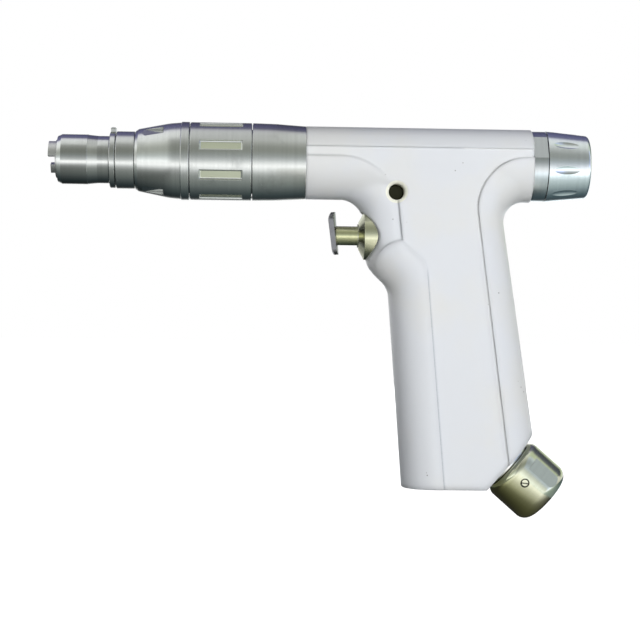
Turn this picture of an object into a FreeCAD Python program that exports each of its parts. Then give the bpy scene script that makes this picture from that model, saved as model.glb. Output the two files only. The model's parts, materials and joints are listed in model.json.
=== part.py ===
import FreeCAD, Part
import math
import os

Vector = FreeCAD.Vector

# Surgical power drill, pistol shaped, held upright with its nose towards -X.
# Millimetres and degrees. +Z is up and -Y is the side that the operator's fingers close on.
# The origin lies on the spindle axis at the mouth of the nose.
# Angles around the spindle axis count from the top towards -Y.

# Clearances
seat_gap = 0.05         # fixed piece in its seat, all round
running_gap = 0.05      # shaft in its bearing, all round
free_gap = 0.3          # pieces that pass one another without touching
joint_gap = 0.3         # groove that shows between neighbouring steel sleeves

# Nose
nose_length = 22.4
nose_land_length = 13.2
nose_radius = 10.9
nose_waist_radius = 10.35
nose_edge_length = 1.8
nose_edge_depth = 0.8
nose_step = 0.12
nose_waist_run = 4.4
nose_bore_radius = 8.6
nose_bore_depth = 6.0
nose_spigot_radius = 9.4
nose_spigot_length = 9.0
seal_seat_radius = 7.5
seal_front = 12.0
seal_width = 3.0
seal_lip_length = 1.2

# Spindle
spindle_radius = 6.0
spindle_tail_radius = 4.8
spindle_head_proud = 0.8
tool_bore_radius = 3.25
tool_bore_depth = 20.0
tool_bore_edge = 0.5
dog_root_radius = 5.0
wide_dog_length = 3.0
wide_dog_angle = 56.0
wide_dog_sweep = 58.0
narrow_dog_length = 1.8
narrow_dog_angle = 127.0
narrow_dog_sweep = 30.0

# Springs
coil_steps = 12         # straight steps in one turn of a spring
spring_gap = 0.15       # round a spring in its room

# Release ring
release_ring_thickness = 2.5
release_ring_radius = 12.3
release_tab_radius = 14.15
release_tab_round = 0.7
release_tab_root = 1.5
release_tab_width = 5.0
release_tab_angle = 4.0
release_spring_wire = 0.7
release_spring_radius = 10.6
release_spring_turns = 2.5
release_spring_pitch = 1.1

# Neck and cone
neck_length = 8.1
neck_radius = 12.5
core_tube_radius = 11.5
neck_web = 4.0              # thickness of the neck behind the front bearing
core_tube_wall_inset = 1.0
cone_length = 19.8
cone_lip_radius = 12.9
cone_shoulder_length = 1.2
cone_shoulder_radius = 13.65
cone_shoulder_round = 0.7
cone_middle_length = 14.6
cone_middle_radius = 16.3
cone_middle_round = 32.0
cone_foot_radius = 16.75
notch_count = 3
notch_width = 5.0
notch_length = 12.3
notch_floor_radius = 14.0
notch_angle = 36.5
cone_ring_length = 3.7
cone_ring_radius = 17.1
ring_edge = 0.25

# Speed collar and index sleeve
collar_length = 26.8
collar_radius = 17.0
collar_flat_count = 8
collar_flat_length = 18.8
collar_flat_width = 4.6
collar_flat_depth = 0.9
collar_flat_round = 0.85
collar_flat_front = 4.1
collar_flat_angle = 70.0
collar_edge = 0.25
index_length = 23.3
index_middle_length = 10.0
index_middle_radius = 16.8
index_middle_round = 80.0
index_step = 0.05
index_dot_radius = 0.8
index_dot_depth = 0.5
index_dot_place = 10.8
index_dot_angle = 14.0
detent_angle = 180.0
detent_dimple_depth = 0.5
detent_dimple_floor = 0.2
detent_ball_radius = 0.95
detent_body_length = 6.0
collar_detent_circle_radius = 15.5
cap_detent_circle_radius = 13.2
detent_proud = 0.25
collar_turn = 60.0
cap_turn = 30.0

# Gear tube, bearings and gears
gear_tube_radius = 14.0
gear_tube_thread_length = 4.6
gear_room_radius = 12.4
spindle_bearing_width = 6.0
front_bearing_width = 6.0
bearing_ring_share = 0.25   # each ring's share of a bearing's depth
bearing_shield_inset = 0.3
carrier_thickness = 3.0
carrier_radius = 9.5
gear_module = 0.45
gear_width = 8.0
sun_teeth = 12
ring_teeth = 48
planet_count = 3
gear_backlash = 0.12
pressure_angle = 20.0
planet_pin_radius = 1.5
motor_bearing_width = 6.0
motor_bearing_gap = 1.6
motor_bearing_radius = 9.5
rotor_shaft_radius = 3.0
sun_seat_radius = 1.2
gear_tube_spigot_length = 15.0
gear_tube_bore_radius = 6.0

# Motor
barrel_bore_radius = 13.1
motor_wall = 1.5          # between the cross hole and the motor's room
stator_setback = 4.5      # front end turns and the space before them
stator_rear_gap = 6.1
middle_bore_radius = 8.0
stator_bore_radius = 7.7
stator_slot_count = 6
stator_slot_width = 3.4
stator_slot_floor_radius = 11.6
winding_overhang = 3.4
winding_inset = 0.5
winding_edge = 0.8
slot_lip = 0.4
magnet_edge = 0.6
magnet_radius = 7.3
rear_bearing_radius = 8.0
rear_bearing_inset = 7.1
rotor_end_room = 2.0
rotor_end_radius = 5.0

# Barrel, rear ring and rear cap
barrel_length = 99.0
barrel_radius = 16.0
rear_ring_length = 6.2
rear_ring_radius = 15.35
rear_flat_angle = 59.4
rear_flat_radius = 14.35
barrel_edge = 0.3
cap_length = 18.8
cap_front_radius = 15.55
cap_rear_radius = 13.7
cap_rear_round = 1.5
cap_wall = 3.5
cap_spigot_radius = 11.0
scallop_count = 8
scallop_length = 11.2
scallop_depth = 0.55
scallop_cutter_radius = 4.0
scallop_place = 8.2
scallop_angle = 55.4
holder_length = 16.0

# Handle, seen from the side
handle_half_thickness = 15.2
handle_edge_radius = 15.0
trigger_cheek_half_thickness = 12.6
trigger_cheek_edge_radius = 12.4
handle_bottom = -142.1
handle_foot_round = 1.0
blank_front = 112.0
under_barrel = -15.9
front_throat = 133.4
front_throat_radius = 11.0
trigger_chin = (135.0, -45.3)
trigger_chin_round = 0.8
grip_top = (144.9, -54.5)
grip_top_radius = 10.0
grip_front_slope = 0.083
rear_throat_inset = 12.9
rear_throat_radius = 9.0
grip_rear_slope = 0.153
heel_tilt = 41.0
heel_inset = 8.8
heel_height = -130.6

# Trigger cheek boundary and the dome at the top of the grip
cheek_front_margin = 8.0
cheek_foot_margin = 8.0
cheek_top = -3.0
cheek_rear_top = 146.8
cheek_rear_bottom = 150.3
dome_centre = (150.9, -46.5)
dome_radius = 12.5

# Sunk side panel
panel_half_thickness = 13.8
panel_top_edge = 6.4
panel_front_edge = 2.1
panel_front_corner = 146.0
panel_front_radius = 25.0
panel_waist = (150.0, -34.5)
panel_waist_radius = 3.0
panel_knee = (160.6, -43.6)
panel_knee_radius = 6.0
panel_front_slope = 0.09
panel_rear_edge = 2.7
panel_rear_corner_inset = 27.3
panel_rear_radius = 22.0
panel_rear_slope = 0.135

# Cross hole and its pin
cross_hole_place = (147.5, -13.0)
cross_hole_radius = 3.5
cross_hole_rim_radius = 4.7
lock_pin_length = 22.2
lock_pin_near_end = 7.0
lock_pin_edge = 0.5

# Trigger
trigger_height = -31.8
bushing_front = 131.2
bushing_boss_radius = 5.1
bushing_boss_length = 0.5
bushing_bevel_foot_radius = 6.0
bushing_bevel_length = 2.4
bushing_radius = 10.5
bushing_rear = 150.0
bushing_guide_length = 5.8
spring_room_radius = 7.2
plunger_radius = 4.2
plunger_tail_radius = 3.0
plunger_tail_length = 3.0
trigger_seal_width = 1.5
seal_edge = 0.2
trigger_seal_radius = 5.2
trigger_seal_place = 1.6
retainer_thickness = 1.0
retainer_edge = 0.2
trigger_magnet_length = 2.0
trigger_magnet_inset = 0.4
trigger_sensor_length = 3.0
plate_rear = 122.4
plate_thickness = 1.5
plate_height = 18.6
plate_top_width = 13.0
plate_foot_width = 10.0
plate_corner_radius = 3.0
plate_curve_radius = 14.0
plate_lean = 5.0
plate_rise = 1.0
trigger_spring_wire = 0.7
trigger_spring_radius = 5.4
trigger_spring_turns = 6

# Connector at the heel
flange_radius = 12.1
flange_thickness = 1.3
flange_edge = 0.3
connector_length = 24.0
connector_radius = 14.3
connector_inner_round = 4.0
connector_outer_round = 5.0
port_radius = 9.5
port_depth = 10.0
port_seal_width = 1.0
port_seal_radius = 10.7
port_channel_radius = 5.5
socket_mouth_radius = 8.6
socket_mouth_depth = 7.0
socket_mouth_edge = 0.6
socket_radius = 8.0
socket_floor = 8.0
insert_thickness = 5.0
contact_count = 6
contact_radius = 0.8
contact_circle_radius = 4.6
contact_length = 7.0
contact_edge = 0.3
insert_edge = 0.3
spanner_flat_angle = 60.0
spanner_flat_radius = 13.9
spanner_flat_front = 7.3
connector_screw_place = 10.1
connector_screw_angle = 98.0
connector_screw_radius = 1.8
connector_screw_length = 3.2
connector_screw_inset = 0.3
connector_screw_turn = 35.0
screw_slot_width = 0.5
screw_slot_depth = 0.4

# Wiring and electronics inside the handle
channel_inset = 37.1
channel_lean = 7.0
channel_radius = 9.0
module_top = 58.0
sensor_lead_reach = 3.0
module_length = 42.0
lead_radius = 0.8
lead_circle_radius = 2.4
lead_count = 3

# Stations along the spindle axis
release_front = nose_length + joint_gap
release_rear = release_front + release_ring_thickness
neck_front = release_rear + joint_gap
neck_rear = neck_front + neck_length
cone_front = neck_rear + joint_gap
cone_rear = cone_front + cone_length
cone_ring_rear = cone_rear + cone_ring_length
collar_front = cone_ring_rear + joint_gap
collar_rear = collar_front + collar_length
index_front = collar_rear + joint_gap
barrel_front = index_front + index_length
barrel_rear = barrel_front + barrel_length
rear_ring_rear = barrel_rear + rear_ring_length
cap_front = rear_ring_rear + joint_gap
cap_rear = cap_front + cap_length
front_bearing_front = nose_length + nose_spigot_length
front_bearing_rear = front_bearing_front + front_bearing_width
gear_room_front = cone_ring_rear + gear_tube_thread_length
carrier_front = gear_room_front + spindle_bearing_width + free_gap
carrier_rear = carrier_front + carrier_thickness
gears_front = carrier_rear + free_gap
gears_rear = gears_front + gear_width
motor_bearing_front = gears_rear + motor_bearing_gap
motor_bearing_rear = motor_bearing_front + motor_bearing_width
gear_tube_rear = barrel_front + gear_tube_spigot_length
holder_front = barrel_rear - holder_length
motor_room_front = cross_hole_place[0] + cross_hole_radius + motor_wall
stator_front = motor_room_front + stator_setback
stator_rear = holder_front - stator_rear_gap
rotor_shaft_rear = barrel_rear - rear_bearing_inset
rear_bearing_front = rotor_shaft_rear - motor_bearing_width
rear_throat = barrel_rear - rear_throat_inset
heel_centre = (barrel_rear - heel_inset, heel_height)
channel_top = barrel_rear - channel_inset
planet_teeth = (ring_teeth - sun_teeth) // 2
sun_pitch_radius = gear_module * sun_teeth / 2
planet_pitch_radius = gear_module * planet_teeth / 2
planet_circle_radius = sun_pitch_radius + planet_pitch_radius

origin = Vector(0, 0, 0)
along_x = Vector(1, 0, 0)
along_y = Vector(0, 1, 0)


def side_point(x, z):
    """Point on the drill's middle plane."""
    return Vector(x, 0, z)


def rounded_wire(corners, place=side_point):
    """Closed wire through (u, v) corners; a third number rounds that corner."""
    points = [place(corner[0], corner[1]) for corner in corners]
    radii = [corner[2] if len(corner) > 2 else 0 for corner in corners]
    count = len(points)
    arcs = []
    for index in range(count):
        here = points[index]
        back = (points[index - 1] - here).normalize()
        ahead = (points[(index + 1) % count] - here).normalize()
        radius = radii[index]
        if radius == 0:
            arcs.append((here, None, here))
            continue
        half_angle = back.getAngle(ahead) / 2
        setback = radius / math.tan(half_angle)
        bisector = (back + ahead).normalize()
        middle = here + bisector * (radius / math.sin(half_angle) - radius)
        arcs.append((here + back * setback, middle, here + ahead * setback))
    edges = []
    for index in range(count):
        start, middle, end = arcs[index]
        following = arcs[(index + 1) % count][0]
        if middle is not None:
            edges.append(Part.Arc(start, middle, end).toShape())
        if end.distanceToPoint(following) > 1e-6:
            edges.append(Part.LineSegment(end, following).toShape())
    return Part.Wire(edges)


def turned(corners):
    """Solid of revolution about the spindle axis from (x, radius) corners."""
    face = Part.Face(rounded_wire(corners))
    return face.revolve(origin, along_x, 360)


def tube(front, rear, outer_radius, inner_radius, edge=0):
    """Round sleeve on the spindle axis with chamfered outer edges."""
    return turned([
        (front, inner_radius), (front, outer_radius - edge), (front + edge, outer_radius),
        (rear - edge, outer_radius), (rear, outer_radius - edge), (rear, inner_radius),
    ] if edge else [
        (front, inner_radius), (front, outer_radius), (rear, outer_radius), (rear, inner_radius),
    ])


def rod(front, rear, radius, height=0.0):
    """Round bar along X at a height above the spindle axis."""
    return Part.makeCylinder(radius, rear - front, Vector(front, 0, height), along_x)


def plate(corners, half_thickness):
    """Side outline made into a slab that is centred on the middle plane."""
    wire = rounded_wire(corners)
    wire.translate(Vector(0, -half_thickness, 0))
    return Part.Face(wire).extrude(Vector(0, 2 * half_thickness, 0))


def block(low, high):
    """Box between two corners."""
    return Part.makeBox(high[0] - low[0], high[1] - low[1], high[2] - low[2], Vector(*low))


def turn_about_spindle(shape, angle):
    """Copy of a shape, turned from the top towards -Y."""
    copy = shape.copy()
    copy.rotate(origin, along_x, angle)
    return copy


def ring_of(shape, count, first_angle=0.0):
    """Evenly spaced copies around the spindle axis."""
    return [turn_about_spindle(shape, first_angle + 360.0 * index / count) for index in range(count)]


def sector(front, rear, outer_radius, inner_radius, middle_angle, sweep):
    """Part of a ring between two radii, centred on an angle from the top."""
    flat = Part.Face(rounded_wire([
        (front, inner_radius), (front, outer_radius), (rear, outer_radius), (rear, inner_radius),
    ]))
    return turn_about_spindle(flat.revolve(origin, along_x, sweep), middle_angle - sweep / 2)


def coil(front, wire_width, radius, pitch, turns, height=0.0):
    """Flat wire spring about an axis along X, wound in short straight steps."""
    steps = int(round(turns * coil_steps))
    points = []
    for step in range(steps + 1):
        turn = 2 * math.pi * step / coil_steps
        points.append(Vector(front + pitch * step / coil_steps, -radius * math.sin(turn),
                             height + radius * math.cos(turn)))
    half = wire_width / 2
    corners = [points[0] + Vector(x * half, 0, z * half) for x, z in ((-1, -1), (1, -1), (1, 1), (-1, 1))]
    section = Part.makePolygon(corners + corners[:1])
    return Part.makePolygon(points).makePipeShell([section], True, False, 1)


def at_heel(shape):
    """Move a shape built along X from the origin onto the slanted heel face."""
    copy = shape.copy()
    copy.rotate(origin, along_y, heel_tilt)
    copy.translate(side_point(*heel_centre))
    return copy


def nose_sleeve():
    """Nose with a chamfered mouth, a waist and a spigot that screws into the neck."""
    rear = nose_length + nose_spigot_length
    return turned([
        (0, nose_bore_radius), (0, nose_radius - nose_edge_depth), (nose_edge_length, nose_radius),
        (nose_land_length, nose_radius), (nose_land_length, nose_radius - nose_step),
        (nose_land_length + nose_waist_run, nose_waist_radius),
        (nose_length, nose_waist_radius), (nose_length, nose_spigot_radius),
        (rear, nose_spigot_radius), (rear, seal_seat_radius), (seal_front, seal_seat_radius),
        (seal_front, spindle_radius + free_gap), (nose_bore_depth, spindle_radius + free_gap),
        (nose_bore_depth, nose_bore_radius),
    ])


def front_seal():
    """Lip seal between nose and spindle."""
    inner = spindle_radius + running_gap
    outer = seal_seat_radius - seat_gap
    lip = (inner + outer) / 2
    rear = seal_front + seal_width
    return turned([
        (seal_front, inner), (seal_front, outer), (rear, outer), (rear, lip),
        (seal_front + seal_lip_length, lip), (seal_front + seal_lip_length, inner),
    ])


def spindle():
    """Hollow-nosed drive shaft with one wide and one narrow end dog."""
    head_radius = nose_bore_radius - free_gap
    head_front = -spindle_head_proud
    head_rear = nose_bore_depth - free_gap
    body = turned([
        (head_front, tool_bore_radius + tool_bore_edge), (head_front, head_radius),
        (head_rear, head_radius), (head_rear, spindle_radius), (carrier_front, spindle_radius),
        (carrier_front, spindle_tail_radius), (carrier_rear, spindle_tail_radius), (carrier_rear, 0),
        (tool_bore_depth, 0), (tool_bore_depth, tool_bore_radius),
        (head_front + tool_bore_edge, tool_bore_radius),
    ])
    wide = sector(head_front - wide_dog_length, head_rear, head_radius, dog_root_radius,
                  wide_dog_angle, wide_dog_sweep)
    narrow = sector(head_front - narrow_dog_length, head_rear, head_radius, dog_root_radius,
                    narrow_dog_angle, narrow_dog_sweep)
    return body.fuse([wide, narrow]).removeSplitter()


def release_ring():
    """Thin ring with a thumb tab that turns on the nose spigot."""
    inner = nose_spigot_radius + running_gap
    ring = tube(release_front, release_rear, release_ring_radius, inner, ring_edge)
    half = release_tab_width / 2
    tab = block((release_front + ring_edge, -half, release_ring_radius - release_tab_root),
                (release_rear, half, release_tab_radius))
    top_edges = [edge for edge in tab.Edges if edge.BoundBox.ZMin > release_tab_radius - 0.01]
    tab = tab.makeFillet(release_tab_round, top_edges)
    return ring.fuse(turn_about_spindle(tab, release_tab_angle)).removeSplitter()


def release_spring():
    """Torsion spring that brings the release ring back."""
    front = neck_front + free_gap + release_spring_wire / 2
    return coil(front, release_spring_wire, release_spring_radius, release_spring_pitch,
                release_spring_turns)


def front_housing():
    """Neck with the front bearing seat and the long core tube under the cone."""
    bearing_seat = nose_spigot_radius + seat_gap
    spring_outer = release_spring_radius + release_spring_wire / 2 + spring_gap
    spring_depth = release_spring_pitch * release_spring_turns + release_spring_wire + free_gap + spring_gap
    tube_rear = cone_ring_rear + gear_tube_thread_length - free_gap
    return turned([
        (neck_front, spring_outer), (neck_front, neck_radius - ring_edge),
        (neck_front + ring_edge, neck_radius), (neck_rear - ring_edge, neck_radius),
        (neck_rear, neck_radius - ring_edge), (neck_rear, core_tube_radius),
        (tube_rear, core_tube_radius), (tube_rear, bearing_seat - core_tube_wall_inset),
        (front_bearing_rear + neck_web, spindle_radius + free_gap),
        (front_bearing_rear, spindle_radius + free_gap), (front_bearing_rear, bearing_seat),
        (neck_front + spring_depth, bearing_seat), (neck_front + spring_depth, spring_outer),
    ])


def bearing(front, rear, outer_radius, shaft_radius):
    """Shielded ball bearing with a recessed shield on both faces."""
    outer = outer_radius - seat_gap
    inner = shaft_radius + running_gap
    ring_depth = (outer - inner) * bearing_ring_share
    shield_outer = outer - ring_depth
    shield_inner = inner + ring_depth
    recess = bearing_shield_inset
    return turned([
        (front, inner), (front, shield_inner), (front + recess, shield_inner),
        (front + recess, shield_outer), (front, shield_outer), (front, outer), (rear, outer),
        (rear, shield_outer), (rear - recess, shield_outer), (rear - recess, shield_inner),
        (rear, shield_inner), (rear, inner),
    ])


def cone_shell():
    """Ogive cone with three milled notches for a pin spanner."""
    inner = core_tube_radius + seat_gap
    shell = turned([
        (cone_front, inner), (cone_front, cone_lip_radius),
        (cone_front + cone_shoulder_length, cone_shoulder_radius, cone_shoulder_round),
        (cone_front + cone_middle_length, cone_middle_radius, cone_middle_round),
        (cone_rear, cone_foot_radius), (cone_rear, inner),
    ])
    half = notch_width / 2
    cutter = block((cone_front - 1, -half, notch_floor_radius),
                   (cone_front + notch_length, half, cone_ring_radius + 1))
    return shell.cut(ring_of(cutter, notch_count, notch_angle))


def cone_ring():
    """Plain ring nut at the foot of the cone."""
    return tube(cone_rear, cone_ring_rear, cone_ring_radius, core_tube_radius + seat_gap, ring_edge)


def detent_dimple(face, circle_radius, middle_angle, into):
    """Shallow conical dimple for a spring plunger's ball."""
    place = Vector(face, 0, circle_radius)
    cone = Part.makeCone(detent_ball_radius, detent_dimple_floor, detent_dimple_depth, place,
                         Vector(into, 0, 0))
    return turn_about_spindle(cone, middle_angle)


def speed_collar():
    """Grip collar with eight milled pockets and three dimples in its rear face."""
    inner = gear_tube_radius + running_gap
    sleeve = tube(collar_front, collar_rear, collar_radius, inner, collar_edge)
    half = collar_flat_width / 2
    front = collar_front + collar_flat_front
    floor = collar_radius - collar_flat_depth
    cutter = block((front, -half, floor), (front + collar_flat_length, half, collar_radius + 1))
    low_edges = [edge for edge in cutter.Edges if edge.BoundBox.ZMax < floor + 0.01]
    cutter = cutter.makeFillet(collar_flat_round, low_edges)
    dimples = [
        detent_dimple(collar_rear, collar_detent_circle_radius, detent_angle - collar_turn * step, -1)
        for step in (0, 0.5, 1)
    ]
    return sleeve.cut(ring_of(cutter, collar_flat_count, collar_flat_angle) + dimples)


def spring_plunger(face, circle_radius, body_outward):
    """Body and ball of a spring plunger whose ball stands proud of a steel face."""
    ball_depth = detent_ball_radius - detent_proud
    centre = Vector(face + ball_depth * body_outward, 0, circle_radius)
    ball = Part.makeSphere(detent_ball_radius, centre)
    body_depth = ball_depth + detent_ball_radius
    start = Vector(face + body_depth * body_outward, 0, circle_radius)
    body = Part.makeCylinder(detent_ball_radius, detent_body_length - body_depth, start,
                             Vector(body_outward, 0, 0))
    return turn_about_spindle(Part.makeCompound([ball, body]), detent_angle)


def plunger_hole(face, circle_radius, body_outward):
    """Blind hole for a spring plunger."""
    start = Vector(face, 0, circle_radius)
    hole = Part.makeCylinder(detent_ball_radius + seat_gap, detent_body_length, start,
                             Vector(body_outward, 0, 0))
    return turn_about_spindle(hole, detent_angle)


def index_sleeve():
    """Barrelled rear sleeve with a pocket for the index dot."""
    inner = gear_tube_radius + seat_gap
    sleeve = turned([
        (index_front, inner), (index_front, collar_radius - ring_edge),
        (index_front + ring_edge, collar_radius),
        (index_front + index_middle_length, index_middle_radius, index_middle_round),
        (barrel_front, barrel_radius - index_step), (barrel_front, inner),
    ])
    pocket = dot_shape(index_dot_radius + seat_gap)
    return sleeve.cut([pocket, plunger_hole(index_front, collar_detent_circle_radius, 1)])


def dot_shape(radius):
    """Short radial plug at the index mark."""
    place = Vector(index_front + index_dot_place, 0, index_middle_radius - index_dot_depth)
    plug = Part.makeCylinder(radius, index_dot_depth + 1.0, place, Vector(0, 0, 1))
    return turn_about_spindle(plug, index_dot_angle)


def index_dot():
    """Dark inlay that marks the sleeve, flush with its surface."""
    skin = tube(index_front, barrel_front, index_middle_radius - index_step, gear_tube_radius)
    return dot_shape(index_dot_radius).common(skin)


def gear_tube():
    """Core tube that carries the gears, the sleeves and the motor's front bearing."""
    thread = core_tube_radius + seat_gap
    return turned([
        (cone_ring_rear, thread), (cone_ring_rear, gear_tube_radius), (barrel_front, gear_tube_radius),
        (barrel_front, barrel_bore_radius - seat_gap), (gear_tube_rear, barrel_bore_radius - seat_gap),
        (gear_tube_rear, gear_tube_bore_radius), (motor_bearing_rear, gear_tube_bore_radius),
        (motor_bearing_rear, motor_bearing_radius), (gears_rear + free_gap, motor_bearing_radius),
        (gears_rear + free_gap, gear_room_radius), (gear_room_front, gear_room_radius),
        (gear_room_front, thread),
    ])


def involute_points(teeth, half_gap, inner_radius, outer_radius):
    """Right flank of one tooth, as (angle, radius) from root to tip."""
    pitch_radius = gear_module * teeth / 2
    base_radius = pitch_radius * math.cos(math.radians(pressure_angle))

    def spread(radius):
        alpha = math.acos(min(1.0, base_radius / radius))
        return math.tan(alpha) - alpha

    half_tooth = math.pi / (2 * teeth) - half_gap / pitch_radius
    first = max(inner_radius, base_radius)
    flank = []
    for step in (0, 0.5, 1):
        radius = first + (outer_radius - first) * step
        flank.append((half_tooth + spread(pitch_radius) - spread(radius), radius))
    if inner_radius < first:
        flank.insert(0, (flank[0][0], inner_radius))
    return flank


def tooth_ring(teeth, flank, first_angle):
    """Closed polygon round all teeth, in the plane across the spindle axis."""
    corners = []
    for index in range(teeth):
        middle = 2 * math.pi * index / teeth + first_angle
        side = [(middle - angle, radius) for angle, radius in flank]
        side += [(middle + angle, radius) for angle, radius in reversed(flank)]
        corners += [Vector(0, -radius * math.sin(angle), radius * math.cos(angle))
                    for angle, radius in side]
    return Part.makePolygon(corners + corners[:1])


def external_gear(teeth, bore_radius, first_angle=0.0):
    """Spur gear across the gear room, on the spindle axis."""
    pitch_radius = gear_module * teeth / 2
    flank = involute_points(teeth, gear_backlash / 2, pitch_radius - 1.2 * gear_module,
                            pitch_radius + 0.9 * gear_module)
    blank = Part.Face(tooth_ring(teeth, flank, first_angle)).extrude(Vector(gear_width, 0, 0))
    blank.translate(Vector(gears_front, 0, 0))
    return blank.cut(rod(gears_front - 1, gears_rear + 1, bore_radius))


def ring_gear():
    """Internal gear that is held in the gear tube."""
    pitch_radius = gear_module * ring_teeth / 2
    flank = involute_points(ring_teeth, -gear_backlash / 2, pitch_radius - 0.85 * gear_module,
                            pitch_radius + 1.25 * gear_module)
    half_pitch = math.pi / ring_teeth
    room = Part.Face(tooth_ring(ring_teeth, flank, half_pitch)).extrude(Vector(gear_width, 0, 0))
    room.translate(Vector(gears_front, 0, 0))
    return rod(gears_front, gears_rear, gear_room_radius - seat_gap).cut(room)


def sun_gear():
    """Sun gear on the front end of the rotor shaft."""
    return external_gear(sun_teeth, sun_seat_radius)


def planet_gear(index):
    """Planet gear in mesh with sun and ring at rest."""
    gear = external_gear(planet_teeth, planet_pin_radius + running_gap, math.pi / planet_teeth)
    gear.translate(Vector(0, 0, planet_circle_radius))
    return turn_about_spindle(gear, 360.0 * index / planet_count)


def planet_carrier():
    """Plate on the rear of the spindle that holds the planet pins."""
    inner = spindle_tail_radius + seat_gap
    plate_ring = tube(carrier_front, carrier_rear, carrier_radius, inner, ring_edge)
    hole = rod(carrier_front - 1, carrier_rear + 1, planet_pin_radius, planet_circle_radius)
    return plate_ring.cut(ring_of(hole, planet_count))


def planet_pins():
    """Three pins on which the planet gears turn."""
    pin = rod(carrier_front, gears_rear, planet_pin_radius, planet_circle_radius)
    return Part.makeCompound(ring_of(pin, planet_count))


def rotor_shaft():
    """Motor shaft with a thin front end for the sun gear."""
    shoulder = gears_rear + free_gap
    return turned([
        (gears_front, 0), (gears_front, sun_seat_radius), (shoulder, sun_seat_radius),
        (shoulder, rotor_shaft_radius), (rotor_shaft_rear, rotor_shaft_radius), (rotor_shaft_rear, 0),
    ])


def rotor_magnet():
    """Permanent magnet rotor."""
    return tube(stator_front, stator_rear, magnet_radius, rotor_shaft_radius, magnet_edge)


def slot_bar(clearance):
    """One stator slot, or the copper in it."""
    half = stator_slot_width / 2 - clearance
    return block((stator_front - clearance, -half, stator_bore_radius + slot_lip + clearance),
                 (stator_rear + clearance, half, stator_slot_floor_radius - clearance))


def stator_core():
    """Laminated stator with six slots."""
    core = tube(stator_front, stator_rear, barrel_bore_radius - seat_gap, stator_bore_radius)
    return core.cut(ring_of(slot_bar(0), stator_slot_count))


def stator_windings():
    """Copper bars in the slots, joined by the end turns."""
    inner = stator_bore_radius + winding_inset
    outer = stator_slot_floor_radius
    front_turns = tube(stator_front - winding_overhang, stator_front, outer, inner, winding_edge)
    rear_turns = tube(stator_rear, stator_rear + winding_overhang, outer, inner, winding_edge)
    bars = ring_of(slot_bar(seat_gap), stator_slot_count)
    return front_turns.fuse(bars + [rear_turns]).removeSplitter()


def bearing_holder():
    """Plug that closes the barrel, holds the rear bearing and carries ring and cap."""
    seat = rear_bearing_radius
    spigot_rear = cap_rear - cap_wall - free_gap
    return turned([
        (holder_front, seat), (holder_front, barrel_bore_radius - seat_gap),
        (barrel_rear, barrel_bore_radius - seat_gap), (barrel_rear, cap_spigot_radius),
        (spigot_rear, cap_spigot_radius), (spigot_rear, 0), (rotor_shaft_rear + rotor_end_room, 0),
        (rotor_shaft_rear + rotor_end_room, rotor_end_radius), (rotor_shaft_rear, rotor_end_radius),
        (rotor_shaft_rear, seat),
    ])


def rear_ring():
    """Ring behind the barrel with one wrench flat."""
    ring = tube(barrel_rear, rear_ring_rear, rear_ring_radius, cap_spigot_radius + seat_gap, ring_edge / 2)
    cutter = block((barrel_rear - 1, -rear_ring_radius, rear_flat_radius),
                   (rear_ring_rear + 1, rear_ring_radius, rear_ring_radius + 1))
    hole = plunger_hole(rear_ring_rear, cap_detent_circle_radius, -1)
    return ring.cut([turn_about_spindle(cutter, rear_flat_angle), hole])


def rear_cap():
    """Tapered turning cap with eight shallow scallops and a rounded rear edge."""
    inner = cap_spigot_radius + running_gap
    cap = turned([
        (cap_front, inner), (cap_front, cap_front_radius),
        (cap_rear, cap_rear_radius, cap_rear_round), (cap_rear, 0), (cap_rear - cap_wall, 0),
        (cap_rear - cap_wall, inner),
    ])
    middle = cap_front + scallop_place
    share = scallop_place / cap_length
    surface = cap_front_radius + (cap_rear_radius - cap_front_radius) * share
    taper = math.degrees(math.atan2(cap_front_radius - cap_rear_radius, cap_length))
    cutter = scallop_cutter(surface - scallop_depth, middle, taper)
    dimples = [
        detent_dimple(cap_front, cap_detent_circle_radius, detent_angle + cap_turn * step, 1)
        for step in (-1, 0, 1)
    ]
    return cap.cut(ring_of(cutter, scallop_count, scallop_angle) + dimples)


def scallop_cutter(floor_radius, middle, taper):
    """Barrel-shaped cutter that leaves a shallow leaf-shaped hollow."""
    half = scallop_length / 2 + 1.5
    end_radius = scallop_cutter_radius - scallop_depth * (half / (scallop_length / 2)) ** 2
    profile = Part.Wire([
        Part.Arc(side_point(-half, end_radius), side_point(0, scallop_cutter_radius),
                 side_point(half, end_radius)).toShape(),
        Part.LineSegment(side_point(half, end_radius), side_point(half, 0)).toShape(),
        Part.LineSegment(side_point(half, 0), side_point(-half, 0)).toShape(),
        Part.LineSegment(side_point(-half, 0), side_point(-half, end_radius)).toShape(),
    ])
    cutter = Part.Face(profile).revolve(origin, along_x, 360)
    cutter.rotate(origin, along_y, taper)
    cutter.translate(side_point(middle, floor_radius + scallop_cutter_radius))
    return cutter


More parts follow.
